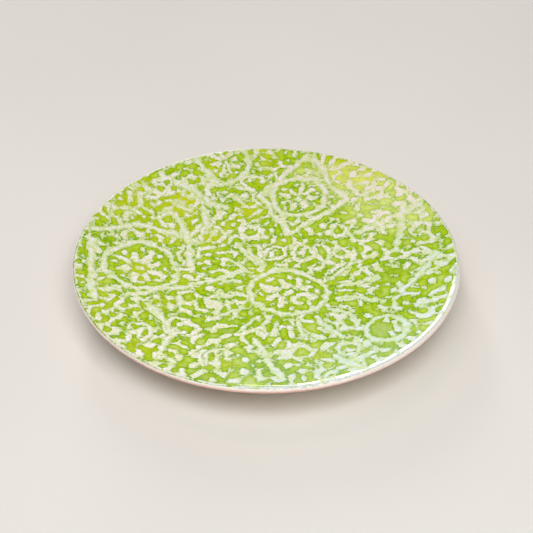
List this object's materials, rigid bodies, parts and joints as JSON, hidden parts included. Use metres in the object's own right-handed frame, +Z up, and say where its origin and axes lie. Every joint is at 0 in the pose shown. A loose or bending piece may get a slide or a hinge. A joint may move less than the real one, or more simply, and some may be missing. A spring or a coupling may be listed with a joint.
{
  "type": "ceramic plate",
  "caption": "Shallow round coupe plate on a turned foot ring, with translucent green glaze and raised cream lace enamel, for serving or display.",
  "frame": {"origin": "middle of the foot ring, on the surface the plate stands on", "axes": "+Z up through the middle of the well, -Y towards the viewer, +X to the viewer's right"},
  "size_m": [0.27, 0.27, 0.026],
  "materials": {
    "fired_clay": "matte",
    "green_glaze": "gloss",
    "lip_glaze": "gloss",
    "back_glaze": "gloss",
    "cream_enamel": "gloss"
  },
  "bodies": {
    "root": {"clay_dish": "fired_clay", "foot_ring": "fired_clay", "face_glaze": "green_glaze", "lip_glaze": "lip_glaze", "back_glaze": "back_glaze", "recess_glaze": "back_glaze", "rosette_rings": "cream_enamel", "rosette_petals": "cream_enamel", "lattice_bands": "cream_enamel", "fan_strokes": "cream_enamel", "filler_dabs": "cream_enamel", "border_line": "cream_enamel"}
  },
  "joints": []
}
